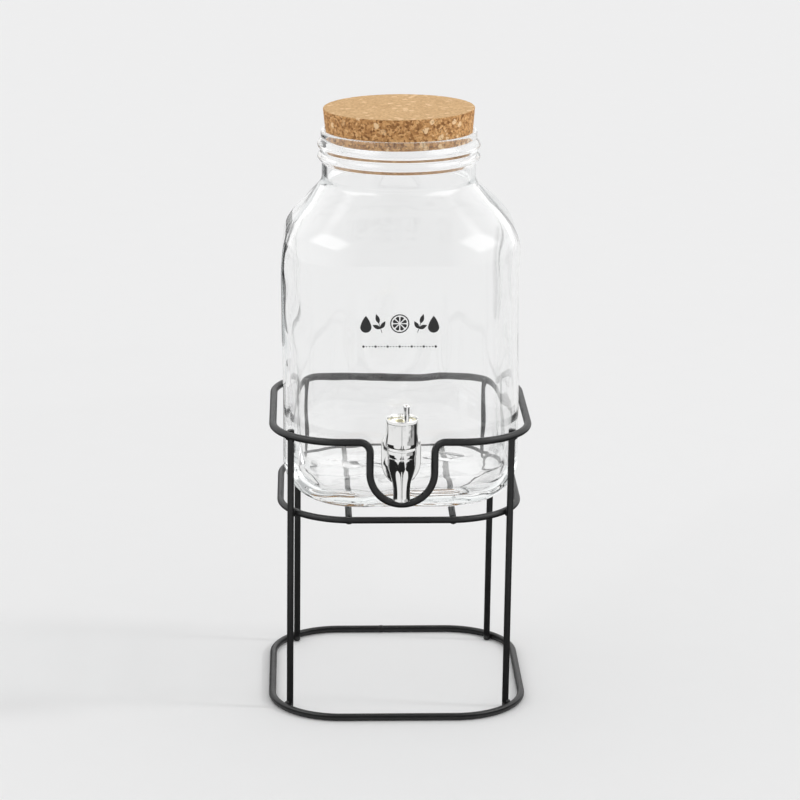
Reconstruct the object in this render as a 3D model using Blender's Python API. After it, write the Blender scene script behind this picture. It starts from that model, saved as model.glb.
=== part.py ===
"""Beverage dispenser: a rounded-square glass jar with a cork stopper and a quarter-turn tap, on a wire stand.

Metres, +Z up. The floor is z = 0, the tap faces -Y, and the stand's own middle is at y = STAND_Y,
so that the origin is the middle of the whole object's footprint.
"""

import math

import bmesh
import bpy
from mathutils import Vector

GAP = 0.0003  # clearance between neighbouring pieces
WIRE_SIDES = 10  # even, so that a wire lies on a flat of its outline
CORNER_STEPS = 7  # flats in each quarter turn of a rounded square

# Wire stand
RING_WIRE_R = 0.0026  # base and upper rings
WIRE_R = 0.00235  # legs, shelf ring and support rods
RING_HALF = 0.090  # half side of the base and upper rings, on the wire's centreline
RING_CORNER = 0.0495
UPPER_Z = 0.2055
SHELF_HALF_X = 0.0845
SHELF_HALF_Y = 0.0815
SHELF_CORNER = 0.0515
SHELF_Z = 0.1463
LEG_TOP = 0.2075
LEG_FOOT = 0.0006
FRONT_LEG_ANGLE = math.radians(34)  # where a front leg stands on the ring's corner arc
BACK_LEG_ANGLE = math.radians(44)
ROD_X = 0.0365
NOTCH_HALF = 0.0224  # the upper ring's dip around the tap
NOTCH_BEND = 0.0075
NOTCH_BOTTOM_Z = 0.1606

# Glass jar
JAR_HALF = 0.0834
JAR_BOTTOM = SHELF_Z + WIRE_R + GAP
NECK_R = 0.0543
HEEL_R = 0.028
PUSH_UP = 0.0025  # height of the dished underside
SHOULDER_R = 0.035
SHOULDER_START = 0.3251
SHOULDER_TURN = math.radians(40)
NECK_START = 0.3745
NECK_FILLET = 0.002
RIM_Z = 0.408
RIM_R = 0.0551
BEAD_R = 0.0574
BEADS_Z = (0.3892, 0.3977)
BEAD_HALF_HEIGHT = 0.0036
WALL = 0.004
FLOOR_Z = JAR_BOTTOM + 0.0098
MOUTH_R = 0.0517
MOUTH_TOP_R = 0.0523
INNER_HEEL_R = 0.021

# Cork stopper
CORK_BOTTOM = 0.4006
CORK_TOP = 0.4236
CORK_BOTTOM_R = 0.0512
CORK_TOP_R = 0.0534

# Tap
TAP_Z = 0.195  # the shank's axis
BARREL_Y = -0.103  # the barrel's axis, from the stand's middle
BARREL_R = 0.0102
BARREL_TOP = 0.2066
SPOUT_TIP = 0.167
VALVE_BORE_R = 0.0058
VALVE_SEAT_Z = 0.189
OUTLET_R = 0.0036
SHANK_R = 0.0078
SHANK_END = 0.0665  # distance of the shank's inner end from the stand's middle
SHANK_BORE_R = 0.0034
HOLE_R = 0.0083
WASHER_R = 0.0135
NUT_FLATS = 0.026
NUT_THICK = 0.006
PLATE_HALF = 0.0139  # oval plate against the outer washer
PLATE_THICK = 0.0022
PLATE_TOP = 0.013  # reach of the plate's rounded top above PLATE_TOP_Z, which is measured from the shank
PLATE_TOP_Z = 0.006
PLATE_BOTTOM = 0.0185
PLATE_BOTTOM_Z = -0.003
FAIRING_HALF = 0.0094
FAIRING_HALF_HEIGHT = 0.0112
KNOB_R = 0.0115
KNOB_TOP = 0.2267
DISH_R = 0.0103
DISH_DEPTH = 0.0045
LEVER_WIDTH = 0.0037
LEVER_EDGE = 0.0005  # chamfer along the lever's edges
LEVER_CORNER = 0.0012
LEVER_INNER = 0.0062  # distance of its inner face from the barrel's axis
LEVER_TOP = 0.2385
LEVER_ANGLE = math.radians(16)  # the lever's turn away from straight ahead at rest
PLUG_R = 0.0055
PORT_R = 0.0026
STEM_HALF = 0.0023
STEM_TOP = 0.2148
PLUG_TOP = 0.2043
PLUG_HOLLOW_R = 0.0028
SNAP_Z = (0.2048, 0.2057)  # lower and upper face of the retaining ring
SNAP_INNER_R = 0.0038
SNAP_GROOVE_DEPTH = 0.0008
SNAP_OPENING = math.radians(60)
ORING_R = 0.0007
ORING_CENTRE_R = 0.0049

# The footprint runs from the knob's front to the back of the rings.
STAND_Y = (KNOB_R - BARREL_Y - RING_HALF - RING_WIRE_R) / 2


def clear_scene():
    for obj in list(bpy.data.objects):
        bpy.data.objects.remove(obj)


def material(name, colour, roughness, metallic=0.0, transmission=0.0):
    made = bpy.data.materials.new(name)
    made.use_nodes = True
    shader = made.node_tree.nodes["Principled BSDF"]
    shader.inputs["Base Color"].default_value = (*colour, 1.0)
    shader.inputs["Roughness"].default_value = roughness
    shader.inputs["Metallic"].default_value = metallic
    shader.inputs["Transmission Weight"].default_value = transmission
    return made


def add_object(name, bm, finish, origin=(0.0, 0.0, 0.0), helper=False):
    """Makes an object of a shape drawn about the stand's own middle, and gives it the stated origin."""
    bmesh.ops.recalc_face_normals(bm, faces=bm.faces)
    bmesh.ops.translate(bm, verts=bm.verts, vec=-Vector(origin))
    mesh = bpy.data.meshes.new(name)
    bm.to_mesh(mesh)
    bm.free()
    mesh.shade_smooth()
    mesh.set_sharp_from_angle(angle=math.radians(35))
    obj = bpy.data.objects.new(name, mesh)
    bpy.context.scene.collection.objects.link(obj)
    obj.location = Vector(origin) + Vector((0.0, STAND_Y, 0.0))
    if helper:
        obj.hide_render = True
        obj.display_type = "WIRE"
    else:
        mesh.materials.append(finish)
    return obj


def combine(target, other, operation):
    modifier = target.modifiers.new(other.name, "BOOLEAN")
    modifier.operation = operation
    modifier.solver = "EXACT"
    modifier.object = other


def skin(loops, closed=False):
    """Joins equal loops of points with quads. The ends are capped, or joined to each other if closed."""
    bm = bmesh.new()
    rows = [[bm.verts.new(point) for point in loop] for loop in loops]
    count = len(rows[0])
    joined = list(zip(rows, rows[1:]))
    if closed:
        joined.append((rows[-1], rows[0]))
    else:
        bm.faces.new(rows[0])
        bm.faces.new(rows[-1])
    for lower, upper in joined:
        for index in range(count):
            after = (index + 1) % count
            bm.faces.new((lower[index], lower[after], upper[after], upper[index]))
    return bm


def circle(radius, height, sides, centre=(0.0, 0.0)):
    turn = math.tau / sides
    return [
        Vector((centre[0] + radius * math.sin(i * turn), centre[1] - radius * math.cos(i * turn), height))
        for i in range(sides)
    ]


def lathe(profile, sides, centre=(0.0, 0.0), closed=False):
    """Turns (radius, height) points about the vertical line through centre."""
    return skin([circle(radius, height, sides, centre) for radius, height in profile], closed)


def along_y(bm, centre_x, centre_z):
    """Lays a shape drawn upright about the Z axis down, so that its height runs along +Y."""
    for vert in bm.verts:
        x, y, z = vert.co
        vert.co = (centre_x + x, z, centre_z - y)
    return bm


def arc(centre, radius, start, end, steps):
    """(x, y) points of an arc, both ends included."""
    return [
        (
            centre[0] + radius * math.cos(start + (end - start) * i / steps),
            centre[1] + radius * math.sin(start + (end - start) * i / steps),
        )
        for i in range(steps + 1)
    ]


def rounded_rectangle(half_x, half_y, corner):
    """(x, y) points round a rectangle with arcs for corners, counter-clockwise from its front's middle."""
    outline = [(0.0, -half_y)]
    for quarter, (side_x, side_y) in enumerate(((1, -1), (1, 1), (-1, 1), (-1, -1))):
        centre = (side_x * (half_x - corner), side_y * (half_y - corner))
        start = math.radians(90 * (quarter - 1))
        outline += arc(centre, corner, start, start + math.pi / 2, CORNER_STEPS)
    return outline


def rounded_square(half, corner):
    return rounded_rectangle(half, half, corner)


# ---------------------------------------------------------------- wire stand


def wire(path, radius, closed=False):
    """Sweeps a round wire along a path. Its frame is carried along without twist."""
    count = len(path)
    tangents = []
    for i in range(count):
        before = path[i - 1] if closed or i > 0 else path[i]
        after = path[(i + 1) % count] if closed or i < count - 1 else path[i]
        tangents.append((after - before).normalized())
    up = Vector((0.0, 0.0, 1.0)) if abs(tangents[0].z) < 0.9 else Vector((0.0, 1.0, 0.0))
    loops = []
    for i, tangent in enumerate(tangents):
        if i > 0:
            up = tangents[i - 1].rotation_difference(tangent) @ up
        across = tangent.cross(up).normalized()
        widen = 1.0
        if closed or 0 < i < count - 1:
            step = (path[(i + 1) % count] - path[i]).normalized()
            widen = 1.0 / max(step.dot(tangent), 0.9)
        loop = []
        for k in range(WIRE_SIDES):
            angle = math.tau * (k + 0.5) / WIRE_SIDES
            loop.append(path[i] + radius * (math.cos(angle) * up + widen * math.sin(angle) * across))
        loops.append(loop)
    return skin(loops, closed)


def notch_path():
    """The upper ring's U-shaped dip at the front, from left to right."""
    y = -RING_HALF
    low = NOTCH_BOTTOM_Z + NOTCH_HALF
    bend = NOTCH_BEND
    left = arc((-NOTCH_HALF - bend, UPPER_Z - bend), bend, math.pi / 2, 0.0, 4)
    bottom = arc((0.0, low), NOTCH_HALF, math.pi, math.tau, 12)
    right = arc((NOTCH_HALF + bend, UPPER_Z - bend), bend, math.pi, math.pi / 2, 4)
    return [Vector((x, y, z)) for x, z in left + bottom + right]


def make_rings(finish):
    outline = rounded_square(RING_HALF, RING_CORNER)
    flat_height = RING_WIRE_R * math.cos(math.pi / WIRE_SIDES)
    base = [Vector((x, y, flat_height)) for x, y in outline]
    add_object("base_ring", wire(base, RING_WIRE_R, closed=True), finish)

    upper = notch_path() + [Vector((x, y, UPPER_Z)) for x, y in outline[1:]]
    add_object("upper_ring", wire(upper, RING_WIRE_R, closed=True), finish)

    shelf_outline = rounded_rectangle(SHELF_HALF_X, SHELF_HALF_Y, SHELF_CORNER)
    shelf = [Vector((x, y, SHELF_Z)) for x, y in shelf_outline]
    add_object("shelf_ring", wire(shelf, WIRE_R, closed=True), finish)


def make_legs(finish):
    """Each leg stands just inside the base and upper rings' corner arcs, and just outside the shelf ring."""
    reach = RING_CORNER - RING_WIRE_R - WIRE_R - GAP
    middle = RING_HALF - RING_CORNER
    for end, side_y, angle in (("front", -1, FRONT_LEG_ANGLE), ("back", 1, BACK_LEG_ANGLE)):
        for name, side_x in (("left", -1), ("right", 1)):
            x = side_x * (middle + reach * math.cos(angle))
            y = side_y * (middle + reach * math.sin(angle))
            path = [Vector((x, y, LEG_FOOT)), Vector((x, y, LEG_TOP))]
            add_object(f"leg_{end}_{name}", wire(path, WIRE_R), finish)


def make_rods(finish):
    """Two rods butted between the shelf ring's front and back carry the jar."""
    end = SHELF_HALF_Y - 2 * GAP - WIRE_R
    for name, x in (("left", -ROD_X), ("right", ROD_X)):
        path = [Vector((x, -end, SHELF_Z)), Vector((x, end, SHELF_Z))]
        add_object(f"support_rod_{name}", wire(path, WIRE_R), finish)


# ---------------------------------------------------------------- jar and stopper


def jar_section(half, height, spread):
    """A level section: a circle of the neck's size pushed apart into a square by spread."""
    return [Vector((x, y, height)) for x, y in rounded_square(half, half - spread)]


def outer_shoulder():
    """(half width, height) up the shoulder: a convex arc, a straight slope, then the fillet into the neck."""
    centre = (JAR_HALF - SHOULDER_R, SHOULDER_START)
    convex = arc(centre, SHOULDER_R, 0.0, SHOULDER_TURN, 6)
    slope_x, slope_z = convex[-1]
    run = slope_x - NECK_R - NECK_FILLET
    rise = run / math.tan(SHOULDER_TURN)
    return convex + [(slope_x - run, slope_z + rise), (NECK_R + NECK_FILLET / 5, NECK_START)]


def bead_radius(height):
    bulge = 0.0
    for middle in BEADS_Z:
        share = (height - middle) / BEAD_HALF_HEIGHT
        if abs(share) < 1:
            bulge = max(bulge, math.cos(share * math.pi / 2))
    return NECK_R + (BEAD_R - NECK_R) * bulge


def make_jar(finish):
    spread = JAR_HALF - NECK_R
    loops = []
    # Underside: dished in the middle, resting on the band just inside the heel
    for half, rise in ((0.030, 1.0), (0.042, 0.55), (0.048, 0.1), (0.051, 0.0)):
        scale = spread * half / (JAR_HALF - HEEL_R)
        loops.append(jar_section(half, JAR_BOTTOM + rise * PUSH_UP, scale))
    for half, height in arc((JAR_HALF - HEEL_R, JAR_BOTTOM + HEEL_R), HEEL_R, -math.pi / 2, 0.0, 6):
        loops.append(jar_section(half, height, spread))
    for half, height in outer_shoulder():
        share = max(0.0, (half - NECK_R) / spread)
        loops.append(jar_section(half, height, spread * share))
    # Neck with its two beads, and the rounded rim
    neck_steps = 12
    low = BEADS_Z[0] - BEAD_HALF_HEIGHT
    high = BEADS_Z[1] + BEAD_HALF_HEIGHT
    for i in range(neck_steps + 1):
        height = low + (high - low) * i / neck_steps
        loops.append(jar_section(bead_radius(height), height, 0.0))
    for radius, height in ((RIM_R, RIM_Z - 0.0045), (RIM_R, RIM_Z - 0.001), (RIM_R - 0.001, RIM_Z)):
        loops.append(jar_section(radius, height, 0.0))
    # Down the inside
    inner_half = JAR_HALF - WALL
    inner_neck = MOUTH_R - 0.0009
    mouth = (
        (MOUTH_TOP_R + 0.0005, RIM_Z),
        (MOUTH_TOP_R, RIM_Z - 0.001),
        (MOUTH_R, CORK_BOTTOM),
        (inner_neck, NECK_START - WALL),
    )
    for radius, height in mouth:
        loops.append(jar_section(radius, height, 0.0))
    centre = (JAR_HALF - SHOULDER_R, SHOULDER_START)
    for half, height in arc(centre, SHOULDER_R - WALL, SHOULDER_TURN, 0.0, 6):
        loops.append(jar_section(half, height, spread * (half - inner_neck) / (inner_half - inner_neck)))
    for half, height in arc(
        (inner_half - INNER_HEEL_R, FLOOR_Z + INNER_HEEL_R), INNER_HEEL_R, 0.0, -math.pi / 2, 6
    ):
        loops.append(jar_section(half, height, spread))
    jar = add_object("glass_jar", skin(loops), finish)

    bore = along_y(lathe([(HOLE_R, -JAR_HALF - WALL), (HOLE_R, -JAR_HALF + 3 * WALL)], 28), 0.0, TAP_Z)
    combine(jar, add_object("jar_tap_hole", bore, finish, helper=True), "DIFFERENCE")


def make_cork(finish):
    edge = 0.0008
    profile = [
        (CORK_BOTTOM_R - edge, CORK_BOTTOM),
        (CORK_BOTTOM_R, CORK_BOTTOM + edge),
        (CORK_TOP_R, CORK_TOP - edge),
        (CORK_TOP_R - edge, CORK_TOP),
    ]
    add_object("cork_stopper", lathe(profile, 48), finish)


# ---------------------------------------------------------------- tap


def plate_outline(height):
    """The oval plate: straight sides, a rounded top, and a longer rounded bottom."""
    steps = 9
    points = []
    for start, middle, reach in ((0.0, PLATE_TOP_Z, PLATE_TOP), (math.pi, PLATE_BOTTOM_Z, PLATE_BOTTOM)):
        for i in range(steps + 1):
            angle = start + math.pi * i / steps
            points.append((PLATE_HALF * math.cos(angle), middle + reach * math.sin(angle)))
    return [Vector((x, -z, height)) for x, z in points]


def stretched(loop, scale_y):
    return [Vector((x, y * scale_y, z)) for x, y, z in loop]


def make_tap_body(finish):
    """Barrel and spout, a fairing back to the oval plate, and the hollow shank through the glass."""
    front = -JAR_HALF - 5 * GAP  # back of the plate, ahead of the outer washer
    barrel_profile = [
        (0.0054, SPOUT_TIP),
        (0.0060, SPOUT_TIP + 0.0008),
        (0.0059, 0.1710),
        (0.0060, 0.1755),
        (0.0067, 0.1812),
        (0.0081, 0.1862),
        (0.0094, 0.1903),
        (0.0099, 0.1940),
        (0.0099, 0.1998),
        (BARREL_R, 0.2004),
        (BARREL_R, BARREL_TOP - 0.0004),
        (BARREL_R - 0.0004, BARREL_TOP),
    ]
    body = add_object("tap_body", lathe(barrel_profile, 32, (0.0, BARREL_Y)), finish, (0.0, BARREL_Y, TAP_Z))

    oval = FAIRING_HALF_HEIGHT / FAIRING_HALF
    ends = (BARREL_Y, front - PLATE_THICK / 2)
    fairing = skin([stretched(circle(FAIRING_HALF, end, 24), oval) for end in ends])
    along_y(fairing, 0.0, TAP_Z - GAP)
    plate = along_y(skin([plate_outline(front - PLATE_THICK), plate_outline(front)]), 0.0, TAP_Z)
    chamfer = 0.0008
    shank_profile = [
        (SHANK_R, front - PLATE_THICK / 2),
        (SHANK_R, -SHANK_END - chamfer),
        (SHANK_R - chamfer, -SHANK_END),
    ]
    shank = along_y(lathe(shank_profile, 28), 0.0, TAP_Z)
    for name, piece in (("tap_fairing", fairing), ("tap_plate", plate), ("tap_shank", shank)):
        combine(body, add_object(name, piece, finish, helper=True), "UNION")

    groove_low = SNAP_Z[0] - GAP
    groove_high = SNAP_Z[1] + GAP
    groove_r = VALVE_BORE_R + SNAP_GROOVE_DEPTH
    valve_profile = [
        (OUTLET_R + 0.0006, SPOUT_TIP - 0.002),
        (OUTLET_R, SPOUT_TIP + 0.006),
        (OUTLET_R, VALVE_SEAT_Z),
        (VALVE_BORE_R, VALVE_SEAT_Z),
        (VALVE_BORE_R, groove_low),
        (groove_r, groove_low),
        (groove_r, groove_high),
        (VALVE_BORE_R, groove_high),
        (VALVE_BORE_R, BARREL_TOP + 0.001),
    ]
    valve_bore = lathe(valve_profile, 24, (0.0, BARREL_Y))
    shank_bore = lathe([(SHANK_BORE_R, BARREL_Y), (SHANK_BORE_R, -SHANK_END + 0.002)], 20)
    along_y(shank_bore, 0.0, TAP_Z)
    for name, piece in (("valve_bore", valve_bore), ("shank_bore", shank_bore)):
        combine(body, add_object(name, piece, finish, helper=True), "DIFFERENCE")


def flat_ring(name, inner_r, outer_r, start, thick, finish):
    """A washer about the shank's axis, with small chamfers on its outer edge."""
    edge = 0.0003
    profile = [
        (inner_r, start),
        (outer_r - edge, start),
        (outer_r, start + edge),
        (outer_r, start + thick - edge),
        (outer_r - edge, start + thick),
        (inner_r, start + thick),
    ]
    add_object(name, along_y(lathe(profile, 32, closed=True), 0.0, TAP_Z), finish)


def make_tap_seals(rubber, nut_finish):
    hole = SHANK_R + GAP
    flat_ring("outer_washer", hole, WASHER_R - 0.0008, -JAR_HALF - 4 * GAP, 3 * GAP, rubber)
    inner_face = -JAR_HALF + WALL
    washer_thick = 0.002
    flat_ring("inner_washer", hole, WASHER_R, inner_face + GAP, washer_thick, rubber)

    start = inner_face + washer_thick + 2 * GAP
    corner = NUT_FLATS / math.sqrt(3)
    outer = [(corner - 0.0012, start), (corner, start + 0.0008), (corner, start + NUT_THICK)]
    nut = add_object("lock_nut", along_y(lathe(outer, 6), 0.0, TAP_Z), nut_finish)
    bore = along_y(lathe([(hole, start - 0.001), (hole, start + NUT_THICK + 0.001)], 28), 0.0, TAP_Z)
    combine(nut, add_object("nut_bore", bore, nut_finish, helper=True), "DIFFERENCE")


def turned(along, across, height, angle):
    """A point at these distances along and across a direction from the barrel's axis."""
    return Vector((
        along * math.cos(angle) - across * math.sin(angle),
        BARREL_Y + along * math.sin(angle) + across * math.cos(angle),
        height,
    ))


def square(half, height):
    """A square about the barrel's axis, lined up with the lever."""
    corners = ((half, half), (-half, half), (-half, -half), (half, -half))
    return [turned(along, across, height, LEVER_ANGLE) for along, across in corners]


def lever_profile(inset):
    """(distance from the axis, height) round the lever's side, drawn in by inset."""
    outer = KNOB_R - GAP - inset
    inner = LEVER_INNER + inset
    low = KNOB_TOP - DISH_DEPTH - 0.002
    corner_z = LEVER_TOP - inset - LEVER_CORNER
    outer_corner = arc((outer - LEVER_CORNER, corner_z), LEVER_CORNER, 0.0, math.pi / 2, 4)
    inner_corner = arc((inner + LEVER_CORNER, corner_z), LEVER_CORNER, math.pi / 2, math.pi, 4)
    return [(outer, low)] + outer_corner + inner_corner + [(inner, low)]


def make_knob(finish):
    """The turning cap: a dished cup with an upright lever on its rim and a square socket below."""
    bottom = BARREL_TOP + GAP
    profile = [
        (KNOB_R - 0.0012, bottom),
        (KNOB_R - 0.0002, bottom + 0.0008),
        (KNOB_R, bottom + 0.003),
        (KNOB_R - 0.0001, KNOB_TOP - 0.0004),
        (KNOB_R - 0.0005, KNOB_TOP),
        (DISH_R, KNOB_TOP),
        (DISH_R - 0.0015, KNOB_TOP - DISH_DEPTH),
    ]
    centre = (0.0, BARREL_Y)
    pivot = (0.0, BARREL_Y, bottom)
    knob = add_object("tap_knob", lathe(profile, 36, centre), finish, pivot)

    half_width = LEVER_WIDTH / 2
    edges = (
        (-half_width, LEVER_EDGE),
        (-half_width + LEVER_EDGE, 0.0),
        (half_width - LEVER_EDGE, 0.0),
        (half_width, LEVER_EDGE),
    )
    loops = []
    for across, inset in edges:
        outline = lever_profile(inset)
        loops.append([turned(along, across, height, LEVER_ANGLE - math.pi / 2) for along, height in outline])
    combine(knob, add_object("knob_lever", skin(loops), finish, helper=True), "UNION")

    half = STEM_HALF + GAP
    socket = skin([square(half, bottom - 0.001), square(half, STEM_TOP + GAP)])
    combine(knob, add_object("knob_socket", socket, finish, helper=True), "DIFFERENCE")


def make_valve_plug(finish, rubber):
    """A hollow plug whose side port meets the shank when the lever is turned to the side."""
    bottom = VALVE_SEAT_Z + GAP
    groove_half = ORING_R + 0.0002
    groove_r = ORING_CENTRE_R - ORING_R - 0.0002
    seals = (TAP_Z - 0.0040, TAP_Z + 0.0046)
    profile = [(PLUG_R, bottom)]
    for middle in seals:
        profile += [
            (PLUG_R, middle - groove_half),
            (groove_r, middle - groove_half),
            (groove_r, middle + groove_half),
            (PLUG_R, middle + groove_half),
        ]
    profile.append((PLUG_R, PLUG_TOP))
    centre = (0.0, BARREL_Y)
    pivot = (0.0, BARREL_Y, bottom)
    plug = add_object("valve_plug", lathe(profile, 24, centre), finish, pivot)

    stem = skin([square(STEM_HALF, PLUG_TOP - 0.001), square(STEM_HALF, STEM_TOP)])
    combine(plug, add_object("plug_stem", stem, finish, helper=True), "UNION")
    hollow = lathe([(PLUG_HOLLOW_R, bottom - 0.001), (PLUG_HOLLOW_R, TAP_Z + PORT_R)], 16, centre)
    combine(plug, add_object("plug_hollow", hollow, finish, helper=True), "DIFFERENCE")
    port = along_y(lathe([(PORT_R, 0.0), (PORT_R, PLUG_R + 0.001)], 16), 0.0, TAP_Z)
    for vert in port.verts:
        vert.co = turned(vert.co.x, vert.co.y, vert.co.z, LEVER_ANGLE - math.pi / 2)
    combine(plug, add_object("plug_port", port, finish, helper=True), "DIFFERENCE")

    for name, middle in zip(("plug_oring_lower", "plug_oring_upper"), seals):
        ring = arc((ORING_CENTRE_R, middle), ORING_R, 0.0, math.tau * 7 / 8, 7)
        add_object(name, lathe(ring, 24, centre, closed=True), rubber, (0.0, BARREL_Y, middle))


def make_retaining_ring(finish):
    """A split ring in a groove at the mouth of the bore holds the plug down."""
    outer_r = VALVE_BORE_R + SNAP_GROOVE_DEPTH - GAP
    low, high = SNAP_Z
    corners = ((SNAP_INNER_R, low), (outer_r, low), (outer_r, high), (SNAP_INNER_R, high))
    steps = 18
    loops = []
    for i in range(steps + 1):
        angle = SNAP_OPENING / 2 + (math.tau - SNAP_OPENING) * i / steps
        loops.append([turned(radius, 0.0, height, angle) for radius, height in corners])
    add_object("plug_retaining_ring", skin(loops), finish, (0.0, BARREL_Y, low))


def main():
    clear_scene()
    black_wire = material("black_powder_coat", (0.022, 0.023, 0.025), 0.45)
    glass = material("clear_glass", (0.95, 0.97, 0.96), 0.02, transmission=1.0)
    cork = material("cork", (0.55, 0.36, 0.20), 0.85)
    chrome = material("chrome_plate", (0.86, 0.86, 0.85), 0.06, metallic=1.0)
    white_plastic = material("white_plastic", (0.80, 0.80, 0.78), 0.4)
    rubber = material("silicone", (0.75, 0.75, 0.74), 0.5)
    steel = material("spring_steel", (0.55, 0.55, 0.56), 0.3, metallic=1.0)

    make_rings(black_wire)
    make_legs(black_wire)
    make_rods(black_wire)
    make_jar(glass)
    make_cork(cork)
    make_tap_body(chrome)
    make_tap_seals(rubber, white_plastic)
    make_knob(chrome)
    make_valve_plug(white_plastic, rubber)
    make_retaining_ring(steel)


main()
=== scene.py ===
"""Looks of the beverage dispenser: a glass jar with a tap and a cork stopper on a black wire stand.

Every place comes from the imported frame. Shapes are drawn about the stand's own middle line and then
set down at its place in the frame. Metres, +Z up, the tap faces -Y.
"""

from math import copysign, cos, hypot, pi, radians, sin, sqrt, tan, tau

import bmesh
import bpy
from mathutils import Matrix, Vector, noise


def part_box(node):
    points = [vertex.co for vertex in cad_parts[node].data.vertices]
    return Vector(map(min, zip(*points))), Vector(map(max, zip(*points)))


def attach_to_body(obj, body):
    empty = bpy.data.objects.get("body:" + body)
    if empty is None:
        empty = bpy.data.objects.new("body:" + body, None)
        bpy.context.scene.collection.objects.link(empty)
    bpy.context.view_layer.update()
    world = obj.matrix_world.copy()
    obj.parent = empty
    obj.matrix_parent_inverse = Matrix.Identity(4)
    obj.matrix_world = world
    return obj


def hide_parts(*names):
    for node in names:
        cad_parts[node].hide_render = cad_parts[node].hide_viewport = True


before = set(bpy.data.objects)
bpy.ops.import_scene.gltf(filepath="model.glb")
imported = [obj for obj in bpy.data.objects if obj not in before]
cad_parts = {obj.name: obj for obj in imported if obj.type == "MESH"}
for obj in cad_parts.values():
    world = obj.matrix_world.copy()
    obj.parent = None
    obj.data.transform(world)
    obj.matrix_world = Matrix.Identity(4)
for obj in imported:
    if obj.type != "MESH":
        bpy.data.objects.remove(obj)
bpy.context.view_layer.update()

QUARTER = pi / 2
UP = Vector((0.0, 0.0, 1.0))
SIDES = (("left", -1), ("right", 1))

# ---- places read from the frame

ring_low, ring_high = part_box("base_ring")
leg_low, leg_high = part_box("leg_front_right")
back_leg_low, back_leg_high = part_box("leg_back_right")
shelf_low, shelf_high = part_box("shelf_ring")
upper_low, upper_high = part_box("upper_ring")
rod_low, rod_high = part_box("support_rod_right")
jar_low, jar_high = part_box("glass_jar")
cork_low, cork_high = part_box("cork_stopper")
body_low, body_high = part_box("tap_body")
knob_low, knob_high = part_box("tap_knob")
nut_low, nut_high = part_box("lock_nut")
inner_low, inner_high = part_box("inner_washer")
outer_low, outer_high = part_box("outer_washer")

STAND = Vector((0.0, (ring_low.y + ring_high.y) / 2, 0.0))  # middle of the stand on the floor

RING_WIRE_R = 0.0026
WIRE_R = 0.00235
WIRE_SIDES = 24
RING_HALF = (ring_high.x - ring_low.x) / 2 - RING_WIRE_R
RING_CORNER = 0.0495
RING_Z = (ring_low.z + ring_high.z) / 2
UPPER_Z = upper_high.z - RING_WIRE_R
NOTCH_BOTTOM_Z = upper_low.z + RING_WIRE_R
NOTCH_HALF = 0.0224
NOTCH_BEND = 0.0075
SHELF_HALF_X = (shelf_high.x - shelf_low.x) / 2 - WIRE_R
SHELF_HALF_Y = (shelf_high.y - shelf_low.y) / 2 - WIRE_R
SHELF_CORNER = 0.0515
SHELF_Z = (shelf_low.z + shelf_high.z) / 2
FRONT_LEG = ((leg_low + leg_high) / 2 - STAND).xy
BACK_LEG = ((back_leg_low + back_leg_high) / 2 - STAND).xy
LEGS = (("front", FRONT_LEG), ("back", BACK_LEG))
ROD_X = (rod_low.x + rod_high.x) / 2

JAR_HALF = (jar_high.x - jar_low.x) / 2
JAR_BOTTOM = jar_low.z
RIM_Z = jar_high.z
NECK_R = 0.0543
HEEL_R = 0.028
SPREAD = JAR_HALF - NECK_R  # how far the corner arcs' middles lie off the axis in the square part
SHOULDER_R = 0.035
SHOULDER_START = RIM_Z - 0.0829
SHOULDER_TURN = radians(40)
NECK_START = RIM_Z - 0.0335
NECK_FILLET = 0.0085
RIM_R = 0.0551
BEAD_R = 0.0574
BEADS_Z = (RIM_Z - 0.0188, RIM_Z - 0.0103)
BEAD_HALF_HEIGHT = 0.0040
GROOVE_R = 0.0556
WALL = 0.004
FLOOR_Z = JAR_BOTTOM + 0.0098
PUSH_UP = 0.0025
PUSH_UP_REACH = 0.88  # as a share of the underside's flat half
FLOOR_RISE = 0.0012
FLOOR_STEPS = 15
MOUTH_R = 0.0517
INNER_NECK_R = 0.0508
INNER_HEEL_R = 0.021

TAP_Z = (nut_low.z + nut_high.z) / 2
BARREL_Y = (knob_low.y + knob_high.y) / 2 - STAND.y
BARREL_R = 0.0102
BARREL_TOP = knob_low.z - 0.0003
SPOUT_TIP = body_low.z
SHANK_R = 0.0078
SHANK_END = body_high.y - STAND.y
THREAD_FOOT_R = SHANK_R - 0.0005
THREADS = 9
PITCH = 0.0016
SEAL_HOLE_R = SHANK_R + 0.0003
PLATE_GAP = 0.0015  # between the jar's flat front and the oval plate
PLATE_THICK = 0.0022
FAIRING_HALF_X = 0.0094
FAIRING_HALF_Z = 0.0112
OUTLET_R = 0.0036
CHAMBER_R = 0.0058
BORE_R = 0.0034
KNOB_R = (knob_high.x - knob_low.x) / 2
LEVER_TOP = knob_high.z
KNOB_TOP = LEVER_TOP - 0.0118
DISH_R = 0.0103
DISH_DEPTH = 0.0045
LEVER_ANGLE = radians(16)
LEVER_WIDTH = 0.0037
LEVER_INNER = 0.0062
LEVER_CORNER = 0.0013
SOCKET_HALF = 0.0026

STOPPER_TILT = radians(-0.7)
# Blown glass and bent wire are never quite true: (height, sideways shift) points of the jar and the stand.
JAR_LEAN = (
    (0.15, 0.0016), (0.21, 0.0017), (0.28, 0.0006), (0.31, 0.0003), (0.335, 0.0018), (0.35, 0.0020),
    (0.376, 0.0),
)
STAND_LEAN = ((0.0, -0.0004), (0.2081, 0.0010))

PRINT_Y = -JAR_HALF - 0.00006
PRINT_THICK = 0.00008
PRINT_Z = 0.2818
PRINT_SHIFT = -0.0014  # the print sits a little left of the jar's middle
DROP_X = 0.0232
SPRIG_X = 0.0122
RULE_HALF = 0.0248
RULE_DROP = 0.0098
DOTS = 25

# ---- mesh helpers


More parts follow.
